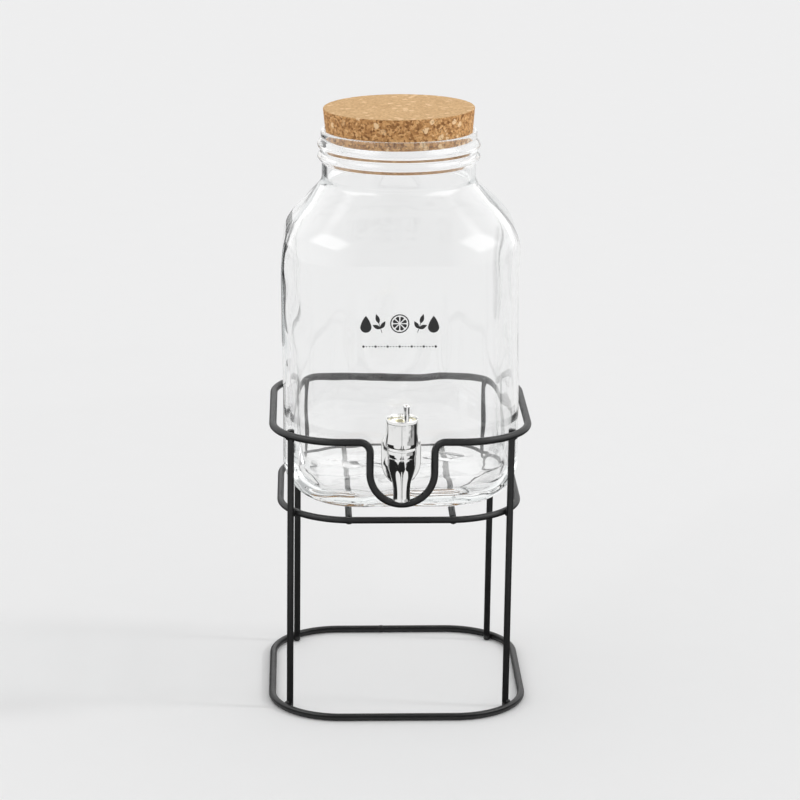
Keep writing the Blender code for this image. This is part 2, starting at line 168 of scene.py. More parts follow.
def skin(loops, closed=False):
    """Joins equal loops of points with quads. The ends are capped, or joined to each other if closed."""
    bm = bmesh.new()
    rows = [[bm.verts.new(point) for point in loop] for loop in loops]
    count = len(rows[0])
    pairs = list(zip(rows, rows[1:]))
    if closed:
        pairs.append((rows[-1], rows[0]))
    else:
        bm.faces.new(rows[0])
        bm.faces.new(rows[-1])
    for lower, upper in pairs:
        for index in range(count):
            after = (index + 1) % count
            bm.faces.new((lower[index], lower[after], upper[after], upper[index]))
    bmesh.ops.recalc_face_normals(bm, faces=bm.faces)
    return bm


def arc(centre, radius, start, end, steps):
    """(x, y) points of an arc, both ends included."""
    turns = [start + (end - start) * i / steps for i in range(steps + 1)]
    return [(centre[0] + radius * cos(turn), centre[1] + radius * sin(turn)) for turn in turns]


def line(start, end, steps):
    """(x, y) points along a line, without its first point."""
    return [
        (start[0] + (end[0] - start[0]) * i / steps, start[1] + (end[1] - start[1]) * i / steps)
        for i in range(1, steps + 1)
    ]


def at_height(points, height):
    return [Vector((x, y, height)) for x, y in points]


def rounded_rectangle(half_x, half_y, corner, arc_steps, side_steps):
    """(x, y) points round a rounded rectangle, counter-clockwise from the middle of its front."""
    middles = (half_x - corner, half_y - corner)
    outline = line((-middles[0], -half_y), (middles[0], -half_y), 2 * side_steps)[side_steps - 1:-1]
    for quarter, (side_x, side_y) in enumerate(((1, -1), (1, 1), (-1, 1), (-1, -1))):
        start = QUARTER * (quarter - 1)
        centre = (side_x * middles[0], side_y * middles[1])
        corner_arc = arc(centre, corner, start, start + QUARTER, arc_steps)
        outline += corner_arc
        last = quarter == 3
        ahead = Matrix.Rotation(start + QUARTER, 2) @ Vector((0.0, 1.0))
        length = middles[1 - quarter % 2] * (1 if last else 2)
        end = Vector(corner_arc[-1]) + ahead * length
        outline += line(corner_arc[-1], end, side_steps if last else 2 * side_steps)[:-1]
    return outline


def circle(radius, height, sides, centre=(0.0, 0.0)):
    turn = tau / sides
    return [
        Vector((centre[0] + radius * sin(i * turn), centre[1] - radius * cos(i * turn), height))
        for i in range(sides)
    ]


def lathe(profile, sides, centre=(0.0, 0.0), closed=False):
    """Turns (radius, height) points about the vertical line through centre."""
    return skin([circle(radius, height, sides, centre) for radius, height in profile], closed)


def along_y(bm, centre_z):
    """Lays an upright shape down, so that its height runs along +Y."""
    for vert in bm.verts:
        x, y, z = vert.co
        vert.co = (x, z, centre_z - y)
    return bm


def sweep(path, radius, sides):
    """A closed round wire along a path, its frame carried along without twist."""
    count = len(path)
    tangents = [(path[(i + 1) % count] - path[i - 1]).normalized() for i in range(count)]
    turns = [tau * k / sides for k in range(sides)]
    up = UP
    loops = []
    for i, tangent in enumerate(tangents):
        if i > 0:
            up = tangents[i - 1].rotation_difference(tangent) @ up
        across = tangent.cross(up).normalized()
        loops.append([path[i] + radius * (cos(turn) * up + sin(turn) * across) for turn in turns])
    return skin(loops, closed=True)


def move(bm, by):
    bmesh.ops.translate(bm, verts=bm.verts, vec=by)


def rotate(bm, angle, axis, about=(0.0, 0.0, 0.0)):
    bmesh.ops.rotate(bm, verts=bm.verts, cent=about, matrix=Matrix.Rotation(angle, 3, axis))


def new_object(name, data):
    obj = bpy.data.objects.new(name, data)
    bpy.context.scene.collection.objects.link(obj)
    return obj


def new_mesh(name, bm, material):
    mesh = bpy.data.meshes.new(name)
    bm.to_mesh(mesh)
    bm.free()
    mesh.materials.append(material)
    return new_object(name, mesh)


def shade(obj, sharp):
    """Smooth shading, except along edges that bend by more than this many degrees."""
    obj.data.shade_smooth()
    obj.data.set_sharp_from_angle(angle=radians(sharp))


def to_object(name, bm, material, sharp=40):
    """Makes an object of a shape drawn about the stand's middle, set down at the stand's place."""
    move(bm, STAND)
    bmesh.ops.recalc_face_normals(bm, faces=bm.faces)
    obj = new_mesh(name, bm, material)
    shade(obj, sharp)
    return obj


def piece(name, bm, material, body, nodes=(), sharp=40):
    """A visible piece that rides on a body and stands for the named CAD nodes."""
    obj = to_object(name, bm, material, sharp)
    return attach(obj, body, nodes)


def attach(obj, body, nodes=()):
    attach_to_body(obj, body)
    if nodes:
        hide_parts(*nodes)
    return obj


def carve(obj, bm, operation):
    """Unites obj with a shape, or cuts the shape from it, and keeps only the result."""
    other = to_object("tool", bm, obj.data.materials[0])
    modifier = obj.modifiers.new("carve", "BOOLEAN")
    modifier.operation = operation
    modifier.solver = "EXACT"
    modifier.object = other
    graph = bpy.context.evaluated_depsgraph_get()
    result = bpy.data.meshes.new_from_object(obj.evaluated_get(graph))
    obj.modifiers.clear()
    obj.data = result
    bpy.data.objects.remove(other)


# ---- material helpers


def with_alpha(value):
    """A colour gets its fourth part. Anything that isn't a tuple stays as it is."""
    return (*value, 1.0) if isinstance(value, tuple) else value


class Nodes:
    """A small wrapper round a node tree."""

    def __init__(self, node_tree):
        self.nodes = node_tree.nodes
        self.links = node_tree.links

    def put(self, socket, value):
        """Sets an input, or links it if value is another node's output."""
        if isinstance(value, bpy.types.NodeSocket):
            self.links.new(value, socket)
        else:
            socket.default_value = value

    def add(self, kind, inputs=None, output=0, **settings):
        """Adds a shader node, sets or links its inputs, and gives back the wanted output."""
        node = self.nodes.new("ShaderNode" + kind)
        for key, value in settings.items():
            setattr(node, key, value)
        for key, value in (inputs or {}).items():
            self.put(node.inputs[key], value)
        return node.outputs[output]

    def maths(self, operation, first, second=0.0):
        return self.add("Math", {0: first, 1: second}, operation=operation)


class Tree(Nodes):
    """The node tree of one new material."""

    def __init__(self, name):
        self.material = bpy.data.materials.new(name)
        self.material.use_nodes = True
        super().__init__(self.material.node_tree)
        self.shader = self.nodes["Principled BSDF"]
        self.place = self.add("TexCoord", output="Object")

    def noise(self, scale, detail=3.0, roughness=0.5):
        inputs = {"Vector": self.place, "Scale": scale, "Detail": detail, "Roughness": roughness}
        return self.add("TexNoise", inputs, "Fac")

    def voronoi(self, scale, output, place):
        return self.add("TexVoronoi", {"Vector": place, "Scale": scale}, output)

    def ramp(self, value, *stops):
        """A colour ramp through (position, colour or grey) stops."""
        output = self.add("ValToRGB", {"Fac": value}, "Color")
        marks = output.node.color_ramp.elements
        while len(marks) < len(stops):
            marks.new(0.5)
        for mark, (position, colour) in zip(marks, stops):
            mark.position = position
            mark.color = with_alpha(colour if isinstance(colour, tuple) else (colour,) * 3)
        return output

    def patches(self, scale, low, high):
        """A colour or a grey that wanders between two values from place to place."""
        return self.ramp(self.noise(scale), (0.3, low), (0.7, high))

    def mix(self, share, first, second):
        inputs = {0: share, 6: with_alpha(first), 7: with_alpha(second)}
        return self.add("Mix", inputs, 2, data_type="RGBA")

    def warp(self, scale, amount):
        """The object's coordinates pushed about by noise."""
        colour = self.add("TexNoise", {"Vector": self.place, "Scale": scale}, "Color")
        centred = self.add("VectorMath", {0: colour, 1: (0.5, 0.5, 0.5)}, operation="SUBTRACT")
        inputs = {0: centred, 1: (amount, amount, amount), 2: self.place}
        return self.add("VectorMath", inputs, operation="MULTIPLY_ADD")

    def bump(self, height, distance, strength):
        inputs = {"Height": height, "Distance": distance, "Strength": strength}
        self.set(Normal=self.add("Bump", inputs, "Normal"))

    def set(self, **values):
        """Sets the main shader's inputs; an underscore stands for a space."""
        for key, value in values.items():
            self.put(self.shader.inputs[key.replace("_", " ")], with_alpha(value))

    def surface(self, shader):
        self.put(self.nodes["Material Output"].inputs["Surface"], shader)

    def give_way(self, share, other):
        """Puts another shader in the main one's place by this share."""
        self.surface(self.add("MixShader", {0: share, 1: self.shader.outputs[0], 2: other}))


# ---- materials


def powder_coat():
    """Fine satin black powder coat with its faint orange peel."""
    tree = Tree("black_powder_coat")
    tree.set(
        Base_Color=tree.patches(160.0, (0.007, 0.0072, 0.0075), (0.012, 0.0122, 0.0125)),
        Roughness=tree.patches(700.0, 0.36, 0.46),
        Specular_IOR_Level=0.5,
    )
    tree.bump(tree.noise(1500.0, 2.0), 0.00006, 0.5)
    return tree.material


def clear_glass():
    """Soda-lime glass, grey-green where it is looked through slantwise. Lamps shine through it."""
    tree = Tree("clear_glass")
    slant = tree.add("LayerWeight", {"Blend": 0.5}, "Facing")
    thick_way = tree.ramp(slant, (0.70, 0.0), (1.0, 1.0))
    tree.set(
        Base_Color=tree.mix(thick_way, (0.992, 0.994, 0.993), (0.945, 0.957, 0.95)),
        Roughness=0.0,
        IOR=1.5,
        Transmission_Weight=1.0,
    )
    path = tree.nodes.new("ShaderNodeLightPath").outputs
    lamp_or_bounce = tree.maths("MAXIMUM", path["Is Shadow Ray"], path["Is Diffuse Ray"])
    # Light caught inside the thick heel is let out after eight bounces, or it would be lost as black.
    caught = tree.maths("GREATER_THAN", path["Ray Depth"], 8.0)
    clear = tree.add("BsdfTransparent", {"Color": (0.93, 0.94, 0.94, 1.0)})
    tree.give_way(tree.maths("MAXIMUM", lamp_or_bounce, caught), clear)
    return tree.material


def cork():
    """Pressed cork crumb: small tan and brown grains with larger pale chips, its side made darker than its
    top by painted shade.
    """
    tree = Tree("cork")

    def grey_cells(scale, place):
        return tree.add("RGBToBW", {0: tree.voronoi(scale, "Color", place)})

    grain = grey_cells(620.0, tree.warp(260.0, 0.0022))
    # Painted shade: the side gets darker colours than the top, mixed in by how far each face points up.
    side = tree.ramp(
        grain, (0.15, (0.27, 0.120, 0.042)), (0.35, (0.48, 0.235, 0.085)), (0.65, (0.66, 0.355, 0.140)),
        (0.9, (0.80, 0.48, 0.215)),
    )
    top = tree.ramp(
        grain, (0.1, (0.60, 0.365, 0.17)), (0.5, (0.70, 0.445, 0.215)), (0.9, (0.78, 0.515, 0.262)),
    )
    normal = tree.add("NewGeometry", output="True Normal")
    upward = tree.add("SeparateXYZ", {0: normal}, "Z")
    base = tree.mix(tree.ramp(upward, (0.35, 0.0), (0.75, 1.0)), side, top)
    # Pale chips: some cells of a coarser pattern, with torn edges
    chip_scale = 185.0
    torn = tree.warp(420.0, 0.0030)
    chosen = tree.ramp(grey_cells(chip_scale, torn), (0.66, 0.0), (0.68, 1.0))
    inside = tree.ramp(tree.voronoi(chip_scale, "Distance", torn), (0.36, 1.0), (0.42, 0.0))
    base = tree.mix(tree.maths("MULTIPLY", chosen, inside), base, (0.90, 0.62, 0.35))
    # Dark pores between grains: partly the cork's own dark gaps, partly painted shade in these hollows.
    # Painted shade also gives the side more of them than the top.
    pores = tree.ramp(tree.noise(900.0, 2.0, 0.6), (0.30, 1.0), (0.42, 0.0))
    pores_and_side_shade = tree.maths("MULTIPLY", pores, tree.ramp(upward, (0.3, 0.85), (0.8, 0.25)))
    base = tree.mix(pores_and_side_shade, base, (0.13, 0.062, 0.026))
    tree.set(Base_Color=base, Roughness=0.88, Specular_IOR_Level=0.25)
    tree.bump(tree.maths("SUBTRACT", tree.noise(800.0, 3.0, 0.6), pores), 0.0003, 0.6)
    return tree.material


def chrome(name, colour, dullness=0.0):
    """Bright plating on moulded plastic, with the slight waviness of the moulding below."""
    tree = Tree(name)
    tree.set(
        Base_Color=tree.mix(tree.noise(90.0), colour, tuple(0.95 * part for part in colour)),
        Roughness=tree.ramp(tree.noise(240.0, 4.0), (0.35, 0.03 + dullness), (0.75, 0.08 + dullness)),
        Metallic=1.0,
    )
    tree.bump(tree.noise(140.0, 1.0), 0.0003, 0.12)
    return tree.material


def moulded_plastic():
    tree = Tree("white_plastic")
    tree.set(
        Base_Color=tree.patches(120.0, (0.74, 0.74, 0.71), (0.82, 0.82, 0.79)),
        Roughness=tree.patches(900.0, 0.34, 0.48),
        Subsurface_Weight=0.15,
        Subsurface_Scale=0.002,
    )
    tree.bump(tree.noise(2200.0), 0.00004, 0.4)
    return tree.material


def silicone():
    tree = Tree("seal_silicone")
    tree.set(
        Base_Color=tree.patches(200.0, (0.70, 0.71, 0.70), (0.79, 0.80, 0.79)),
        Roughness=0.5,
        Transmission_Weight=0.25,
        Subsurface_Weight=0.3,
        Subsurface_Scale=0.002,
    )
    tree.bump(tree.noise(1600.0), 0.00005, 0.4)
    return tree.material


def spring_steel():
    tree = Tree("spring_steel")
    tree.set(Base_Color=(0.55, 0.55, 0.56), Roughness=tree.patches(1200.0, 0.22, 0.38), Metallic=1.0)
    return tree.material


def print_ink():
    """Black ceramic ink, very slightly uneven."""
    tree = Tree("print_ink")
    tree.set(Base_Color=tree.patches(1400.0, (0.010, 0.010, 0.011), (0.024, 0.024, 0.025)), Roughness=0.45)
    return tree.material


# ---- wire stand


def ring_outline(half_x, half_y, corner, height):
    return at_height(rounded_rectangle(half_x, half_y, corner, 22, 2), height)


def notch():
    """The upper ring's U-shaped dip at the front, from left to right."""
    low = NOTCH_BOTTOM_Z + NOTCH_HALF
    bend = NOTCH_BEND
    left = arc((-NOTCH_HALF - bend, UPPER_Z - bend), bend, QUARTER, 0.0, 10)
    bottom = arc((0.0, low), NOTCH_HALF, pi, tau, 36)
    right = arc((NOTCH_HALF + bend, UPPER_Z - bend), bend, pi, QUARTER, 10)
    return [Vector((x, -RING_HALF, z)) for x, z in left + bottom + right]


def rod(start, end):
    """A straight wire with its cut ends slightly rounded."""
    edge = 0.0005
    length = (end - start).length
    profile = [(WIRE_R - edge, 0.0), (WIRE_R - 0.3 * edge, 0.25 * edge), (WIRE_R, edge)]
    profile += line((WIRE_R, edge), (WIRE_R, length - edge), 24)
    profile += [(WIRE_R - 0.3 * edge, length - 0.25 * edge), (WIRE_R - edge, length)]
    bm = lathe(profile, WIRE_SIDES)
    turn = UP.rotation_difference((end - start).normalized())
    bmesh.ops.transform(bm, matrix=Matrix.Translation(start) @ turn.to_matrix().to_4x4(), verts=bm.verts)
    return bm


def lean_stand(bm):
    (low, first), (high, second) = STAND_LEAN
    for vert in bm.verts:
        vert.co.x += first + (second - first) * (vert.co.z - low) / (high - low)
    return bm


def make_wires(material):
    def wire_piece(name, bm):
        piece(name + "_wire", lean_stand(bm), material, "stand", (name,), sharp=60)

    base = ring_outline(RING_HALF, RING_HALF, RING_CORNER, RING_Z)
    wire_piece("base_ring", sweep(base, RING_WIRE_R, WIRE_SIDES))
    shelf = ring_outline(SHELF_HALF_X, SHELF_HALF_Y, SHELF_CORNER, SHELF_Z)
    wire_piece("shelf_ring", sweep(shelf, WIRE_R, WIRE_SIDES))
    around = [
        point for point in ring_outline(RING_HALF, RING_HALF, RING_CORNER, UPPER_Z)
        if point.y > 1e-6 - RING_HALF or abs(point.x) > NOTCH_HALF + NOTCH_BEND
    ]
    first = next(i for i, point in enumerate(around) if point.x > 0 and point.y < 0)
    wire_piece("upper_ring", sweep(notch() + around[first:] + around[:first], RING_WIRE_R, WIRE_SIDES))

    for end, (x, y) in LEGS:
        for name, side in SIDES:
            foot = Vector((side * x, y, leg_low.z))
            wire_piece(f"leg_{end}_{name}", rod(foot, Vector((side * x, y, leg_high.z))))
    reach = (rod_high.y - rod_low.y) / 2
    for name, side in SIDES:
        x = side * ROD_X
        wire_piece(f"support_rod_{name}", rod(Vector((x, -reach, SHELF_Z)), Vector((x, reach, SHELF_Z))))


def weld(at, size, seed):
    """A small puddle of weld metal, drawn out along its seam and a little lumpy under the paint."""
    bm = bmesh.new()
    bmesh.ops.create_icosphere(bm, subdivisions=3, radius=1.0)
    shift = Vector((seed * 3.1, seed * 1.7, 0.0))
    for vert in bm.verts:
        direction = vert.co.normalized()
        lump = 1.0 + 0.16 * noise.noise(direction * 1.6 + shift)
        pinch = 1.0 - 0.22 * (1.0 - abs(direction.z)) ** 2
        vert.co = Vector(at) + Vector((
            direction.x * size[0] * lump * pinch,
            direction.y * size[1] * lump * pinch,
            direction.z * size[2] * lump,
        ))
    return bm


def joined(parts):
    """One mesh of several separate shapes."""
    whole = bmesh.new()
    for part in parts:
        mesh = bpy.data.meshes.new("part")
        part.to_mesh(mesh)
        whole.from_mesh(mesh)
        part.free()
        bpy.data.meshes.remove(mesh)
    return whole


def make_welds(material):
    """Each place where two wires meet carries a small weld, and so does the base ring's closing joint."""
    def weld_piece(name, bm):
        piece(name, lean_stand(bm), material, "stand", sharp=180)

    corner = RING_HALF - RING_CORNER
    seed = 0
    for end, leg in LEGS:
        for name, side in SIDES:
            foot = Vector((side * leg.x, leg.y))
            middle = Vector((side * corner, copysign(corner, leg.y)))
            outward = (foot - middle).normalized() * WIRE_R
            parts = []
            for spot, height, size in (
                (foot + outward, RING_Z + 0.0006, (0.0022, 0.0022, 0.0030)),
                (foot - outward, SHELF_Z, (0.0019, 0.0019, 0.0030)),
                (foot + outward, UPPER_Z - 0.0016, (0.0025, 0.0022, 0.0036)),
            ):
                parts.append(weld((spot.x, spot.y, height), size, seed))
                seed += 1
            weld_piece(f"welds_leg_{end}_{name}", joined(parts))
    for name, side in SIDES:
        for end, front in (("front", -1), ("back", 1)):
            at = (side * ROD_X, front * (SHELF_HALF_Y - 0.0006), SHELF_Z - 0.0012)
            weld_piece(f"weld_rod_{name}_{end}", weld(at, (0.0029, 0.0024, 0.0019), seed))
            seed += 1
    half = [(RING_WIRE_R * 0.97, 0.0022), (RING_WIRE_R + 0.00012, 0.0012)]
    profile = [(radius, -along) for radius, along in half] + [(RING_WIRE_R + 0.00028, 0.0)] + half[::-1]
    butt = lathe(profile, WIRE_SIDES)
    rotate(butt, QUARTER, "Y")
    move(butt, (-0.008, RING_HALF, RING_Z))
    weld_piece("weld_base_ring_butt", butt)


# ---- jar


def jar_level(half, height, spread):
    """A level section: a circle pushed apart into a rounded square by spread."""
    return at_height(rounded_rectangle(half, half, half - spread, 24, 7), height)


def bead_radius(height):
    """The neck's radius: two beads with a shallow groove between them."""
    between = smooth_step((height - BEADS_Z[0]) / 0.001)
    floor = NECK_R + (GROOVE_R - NECK_R) * between
    bulge = 0.0
    for middle in BEADS_Z:
        share = (height - middle) / BEAD_HALF_HEIGHT
        if abs(share) < 1:
            bulge = max(bulge, cos(share * QUARTER) ** 1.3)
    return floor + (BEAD_R - floor) * bulge


def smooth_step(share):
    share = min(1.0, max(0.0, share))
    return share * share * (3 - 2 * share)


def along_curve(points, height):
    """The value at this height between (height, value) points, eased from one to the next."""
    if height <= points[0][0]:
        return points[0][1]
    for (low, first), (high, second) in zip(points, points[1:]):
        if height <= high:
            return first + (second - first) * smooth_step((height - low) / (high - low))
    return points[-1][1]


def outer_shoulder():
    """(half width, height) up the shoulder: a convex arc, a straight slope and the neck's fillet."""
    centre = (JAR_HALF - SHOULDER_R, SHOULDER_START)
    points = arc(centre, SHOULDER_R, 0.0, SHOULDER_TURN, 24)
    fillet_x = NECK_R + NECK_FILLET
    run = points[-1][0] - fillet_x + NECK_FILLET * cos(SHOULDER_TURN)
    rise = run / tan(SHOULDER_TURN)
    slope_end = (points[-1][0] - run, points[-1][1] + rise)
    fillet = (fillet_x, slope_end[1] + NECK_FILLET * sin(SHOULDER_TURN))
    points += line(points[-1], slope_end, 8)
    points += arc(fillet, NECK_FILLET, pi + SHOULDER_TURN, pi, 8)[1:]
    return points


def outer_levels():
    """(half width, height, spread) from the middle of the underside up to the rim."""
    levels = []
    flat = JAR_HALF - HEEL_R
    for i in range(1, FLOOR_STEPS):
        half = flat * i / FLOOR_STEPS
        rise = PUSH_UP * 0.5 * (1 + cos(pi * min(1.0, half / (PUSH_UP_REACH * flat))))
        levels.append((half, JAR_BOTTOM + rise, SPREAD * half / flat))
    heel = arc((flat, JAR_BOTTOM + HEEL_R), HEEL_R, -QUARTER, 0.0, 24)
    side = line(heel[-1], (JAR_HALF, SHOULDER_START), 36)
    levels += [(half, height, SPREAD) for half, height in heel + side]
    levels += [(half, height, max(0.0, half - NECK_R)) for half, height in outer_shoulder()[1:]]
    neck_low = levels[-1][1]
    neck_high = BEADS_Z[1] + BEAD_HALF_HEIGHT
    steps = 44
    for i in range(1, steps + 1):
        height = neck_low + (neck_high - neck_low) * i / steps
        levels.append((bead_radius(height), height, 0.0))
    edge = 0.0014
    rim = [(RIM_R - 0.0004, RIM_Z - 0.0055), (RIM_R, RIM_Z - 0.0042), (RIM_R, RIM_Z - 0.0022)]
    rim += arc((RIM_R - edge, RIM_Z - edge), edge, 0.0, QUARTER, 6)
    levels += [(half, height, 0.0) for half, height in rim]
    return levels


def inner_levels():
    """(half width, height, spread) from the rim down the inside to the middle of the floor."""
    edge = 0.0009
    mouth = arc((MOUTH_R + 0.0006 + edge, RIM_Z - edge), edge, QUARTER, pi, 5)
    mouth += line(mouth[-1], (MOUTH_R, cork_low.z), 6)
    mouth += line(mouth[-1], (INNER_NECK_R, NECK_START - WALL), 14)
    levels = [(half, height, 0.0) for half, height in mouth]
    inner_half = JAR_HALF - WALL
    stretch = SPREAD / (inner_half - INNER_NECK_R)
    inside_arc = arc((JAR_HALF - SHOULDER_R, SHOULDER_START), SHOULDER_R - WALL, SHOULDER_TURN, 0.0, 22)
    slope = line(mouth[-1], inside_arc[0], 8) + inside_arc[1:]
    levels += [(half, height, (half - INNER_NECK_R) * stretch) for half, height in slope]
    flat = inner_half - INNER_HEEL_R
    heel = arc((flat, FLOOR_Z + INNER_HEEL_R), INNER_HEEL_R, 0.0, -QUARTER, 22)
    side = line((inner_half, SHOULDER_START), heel[0], 36)[:-1]
    levels += [(half, height, SPREAD) for half, height in side + heel]
    for i in range(FLOOR_STEPS - 1, 0, -1):
        half = flat * i / FLOOR_STEPS
        rise = FLOOR_RISE * 0.5 * (1 + cos(pi * half / flat))
        levels.append((half, FLOOR_Z + rise, SPREAD * half / flat))
    return levels


def uneven(point, height_share):
    """How far the inner face stands off its true shape: most of all low down and towards one side."""
    slow = noise.noise(Vector((point.x * 22, point.y * 22, point.z * 13)))
    quick = noise.noise(Vector((point.x * 62 + 7, point.y * 62, point.z * 42)))
    low = max(0.0, 1.0 - height_share / 0.22)
    left = max(0.0, -point.x / JAR_HALF)
    right = max(0.0, point.x / JAR_HALF)
    thicker = 0.0005 * left * left + 0.0004 * right ** 2
    wave = slow * (0.00100 + 0.0012 * low) + quick * (0.00014 + 0.00025 * left + 0.0006 * low)
    return wave - thicker


def make_jar(material):
    loops = [jar_level(*level) for level in outer_levels()]
    for half, height, spread in inner_levels():
        loop = jar_level(half, height, spread)
        if height < NECK_START:
            share = (height - FLOOR_Z) / (NECK_START - FLOOR_Z)
            fade = min(1.0, (NECK_START - height) / 0.03)
            centre = Vector((0.0, 0.0, FLOOR_Z + 0.05 + 0.6 * (height - FLOOR_Z)))
            for point in loop:
                point += (point - centre).normalized() * uneven(point, share) * fade
        loops.append(loop)
    bm = skin(loops)
    # A round section has no straight sides, so their points fall together.
    bmesh.ops.remove_doubles(bm, verts=bm.verts, dist=1e-6)
    for vert in bm.verts:
        vert.co.x += along_curve(JAR_LEAN, vert.co.z)
    jar = to_object("glass_jar_body", bm, material, sharp=70)
    hole_r = SHANK_R + 0.0005
    hole = lathe([(hole_r, -JAR_HALF - WALL), (hole_r, -JAR_HALF + 3 * WALL)], 64)
    carve(jar, along_y(hole, TAP_Z), "DIFFERENCE")
    attach(jar, "jar", ("glass_jar",))


# ---- stopper


def cork_profile():
    """(radius, height, share of the surface roughness) from the middle of the underside to the top."""
    bottom_r, top_r = 0.0512, (cork_high.x - cork_low.x) / 2 - 0.0002
    edge = 0.0007
    points = [(bottom_r * i / 12, cork_low.z, 0.4) for i in range(1, 12)]
    points += [(r, z, 0.6) for r, z in arc((bottom_r - edge, cork_low.z + edge), edge, -QUARTER, 0.0, 4)]
    side = line((bottom_r, cork_low.z + edge), (top_r, cork_high.z - edge), 26)
    points += [(r, z, 1.0) for r, z in side[:-1]]
    points += [(r, z, 0.6) for r, z in arc((top_r - edge, cork_high.z - edge), edge, 0.0, QUARTER, 4)]
    points += [(top_r * i / 30, cork_high.z, 0.35) for i in range(29, 0, -1)]
    return points


def make_stopper(material):
    """The stopper, with small torn-out pits in its faces. It sits a little crooked, as a hand leaves it."""
    loops = []
    middle = Vector((0.0, 0.0, (cork_low.z + cork_high.z) / 2))
    for radius, height, rough in cork_profile():
        loop = circle(radius, height, 320)
        for point in loop:
            inward = middle - point
            if abs(point.z - cork_high.z) < 1e-6 or abs(point.z - cork_low.z) < 1e-6:
                inward = Vector((0.0, 0.0, inward.z))
            pit = max(0.0, noise.noise(point * 520) - 0.12) * 0.0011
            pit += max(0.0, noise.noise(point * 210 + Vector((3.0, 1.0, 5.0))) - 0.25) * 0.0010
            point += inward.normalized() * pit * rough
        loops.append(loop)
    bm = skin(loops)
    rotate(bm, STOPPER_TILT, "Y", middle)
    piece("stopper_of_cork", bm, material, "stopper", ("cork_stopper",), sharp=60)


# ---- tap


def rounded_plate(outline_of, start, end, edge):
    """A plate between two places along its axis, its edges rounded. outline_of(inset) gives its points."""
    ends = arc((start + edge, 0.0), edge, pi, QUARTER, 4) + arc((end - edge, 0.0), edge, QUARTER, 0.0, 4)
    return skin([at_height(outline_of(edge - inset), offset) for offset, inset in ends])


def escutcheon(inset):
    """(x, -z) points of the oval plate behind the barrel, from its right side over the top."""
    points = []
    half = 0.0139 - inset
    for start, middle, reach in ((0.0, 0.006, 0.013), (pi, -0.003, 0.0185)):
        for i in range(33):
            angle = start + pi * i / 32
            points.append((half * cos(angle), -(middle + (reach - inset) * sin(angle))))
    return points


def fairing_outline(inset):
    half_x, half_z = FAIRING_HALF_X - inset, FAIRING_HALF_Z - inset
    return [(half_x * sin(tau * i / 72), -half_z * cos(tau * i / 72)) for i in range(72)]


def spout_levels():
    """(half width, reach to the front, height) up the spout: its front falls away sooner than its sides."""
    known = [
        (half, front, SPOUT_TIP + rise) for half, front, rise in (
            (0.0060, 0.0060, 0.0008), (0.0059, 0.0059, 0.0040), (0.0060, 0.0060, 0.0085),
            (0.0067, 0.0062, 0.0142), (0.0081, 0.0066, 0.0192), (0.0094, 0.0073, 0.0233),
            (0.0099, 0.0085, 0.0270), (0.0099, 0.0098, 0.0312), (0.0099, 0.0099, 0.0328),
        )
    ]
    lip = [(0.0053, 0.0053, SPOUT_TIP), (0.0057, 0.0057, SPOUT_TIP + 0.0002)]
    steps = 56
    return lip + [smooth_curve(known, i / steps) for i in range(steps + 1)]


def spout_level(half, front, height):
    """A round section whose front half is drawn in to the stated reach."""
    return [
        Vector((half * x, BARREL_Y + y * (front if y < 0 else half), z))
        for x, y, z in circle(1.0, height, 96)
    ]


def barrel_levels():
    """The band above the spout, as spout levels."""
    band = [(0.0102, SPOUT_TIP + 0.0334)]
    band += line(band[-1], (BARREL_R, BARREL_TOP - 0.0004), 3)
    band += [(BARREL_R - 0.0001, BARREL_TOP - 0.0001), (BARREL_R - 0.0004, BARREL_TOP)]
    return [(radius, radius, height) for radius, height in band]


def smooth_curve(points, share):
    """A Catmull-Rom curve through the points at this share of its length."""
    last = len(points) - 1
    place = share * last
    index = min(int(place), last - 1)
    t = place - index
    around = [points[max(index - 1, 0)], points[index], points[index + 1], points[min(index + 2, last)]]
    return tuple(
        0.5 * (2 * b + (c - a) * t + (2 * a - 5 * b + 4 * c - d) * t * t + (3 * b - a - 3 * c + d) * t ** 3)
        for a, b, c, d in zip(*around)
    )


def shank_profile(start):
    """(radius, distance back) along the shank from start to its threaded end."""
    profile = [(SHANK_R, start)]
    first = SHANK_END - 0.001 - THREADS * PITCH
    for i in range(THREADS):
        foot = first + i * PITCH
        profile += [(THREAD_FOOT_R, foot), (SHANK_R, foot + 0.4 * PITCH), (SHANK_R, foot + 0.55 * PITCH)]
    return profile + [(THREAD_FOOT_R, SHANK_END - 0.001), (SHANK_R - 0.0010, SHANK_END)]


def chamber_profile():
    """(radius, height) up the barrel's hollow: outlet, the plug's seat and the retaining ring's groove."""
    seat = BARREL_TOP - 0.0176
    groove_low, groove_high = BARREL_TOP - 0.0021, BARREL_TOP - 0.0006
    return [
        (0.0042, SPOUT_TIP - 0.002), (OUTLET_R, SPOUT_TIP + 0.006), (OUTLET_R, seat), (CHAMBER_R, seat),
        (CHAMBER_R, groove_low), (0.0066, groove_low), (0.0066, groove_high), (CHAMBER_R, groove_high),
        (CHAMBER_R, BARREL_TOP + 0.001),
    ]


